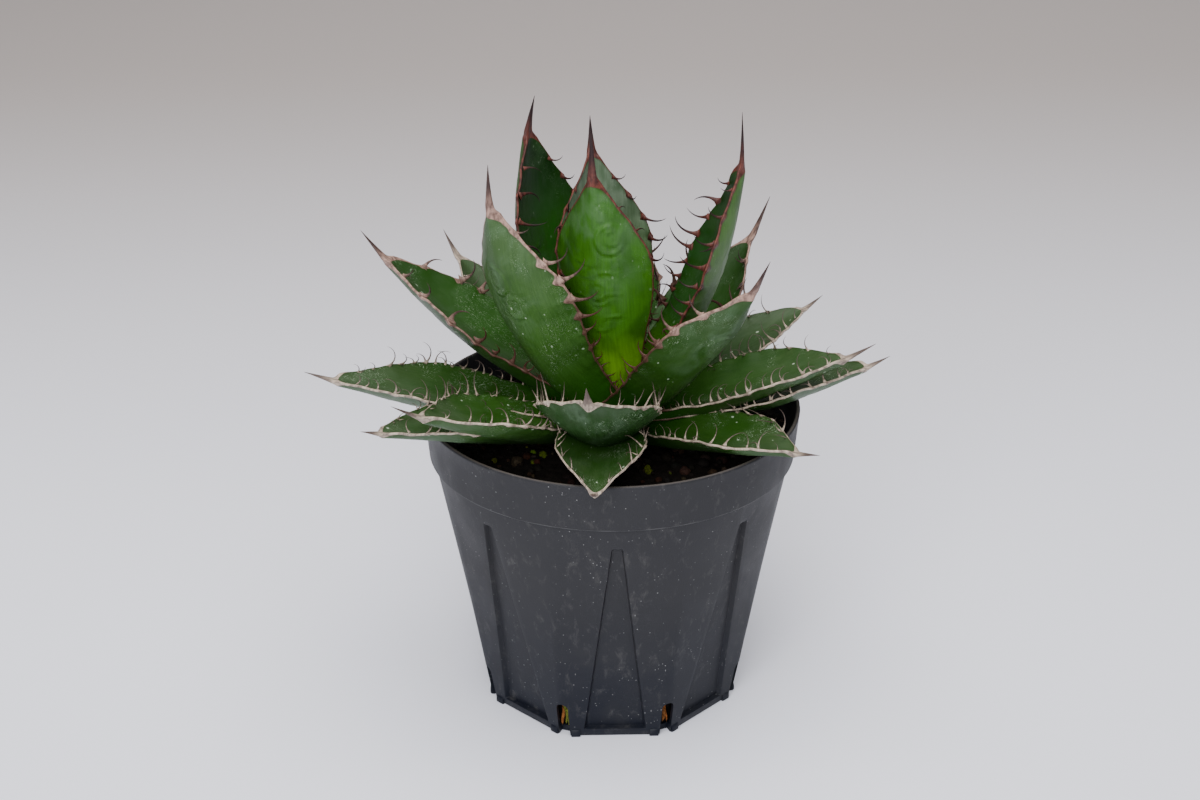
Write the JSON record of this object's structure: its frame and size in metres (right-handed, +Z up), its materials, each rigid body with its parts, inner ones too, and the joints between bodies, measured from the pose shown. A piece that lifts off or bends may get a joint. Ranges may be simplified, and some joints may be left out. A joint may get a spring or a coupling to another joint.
{
  "type": "potted agave",
  "caption": "Small potted agave: an open rosette of thick toothed leaves with end spines, in a black plastic slit pot with soil.",
  "frame": {"origin": "middle of the pot's flat underside", "axes": "+Z up along the pot's axis; the plant's front, with its lowest leaf over the rim, faces -Y; +X to the right of the front"},
  "size_m": [0.1611, 0.1377, 0.1729],
  "materials": {
    "pot_plastic": "matte moulded, scuffed and dusty",
    "soil_mix": "rough granular mix",
    "stem_core": "fibrous",
    "leaf_heart": "smooth, waxy, slightly glossy",
    "leaf_green": "smooth with a pale waxy bloom"
  },
  "bodies": {
    "root": {"pot": "pot_plastic", "soil": "soil_mix", "stem": "stem_core", "heart_spear": "leaf_heart", "leaf_01": "leaf_heart", "leaf_02": "leaf_heart", "leaf_03": "leaf_heart", "leaf_04": "leaf_heart", "leaf_05": "leaf_green", "leaf_06": "leaf_green", "leaf_07": "leaf_green", "leaf_08": "leaf_green", "leaf_09": "leaf_green", "leaf_10": "leaf_green", "leaf_11": "leaf_green", "leaf_12": "leaf_green", "leaf_13": "leaf_green", "leaf_14": "leaf_green", "leaf_15": "leaf_green", "leaf_16": "leaf_green", "leaf_17": "leaf_green", "leaf_18": "leaf_green", "leaf_19": "leaf_green", "leaf_20": "leaf_green", "leaf_21": "leaf_green", "leaf_22": "leaf_green"}
  },
  "joints": []
}
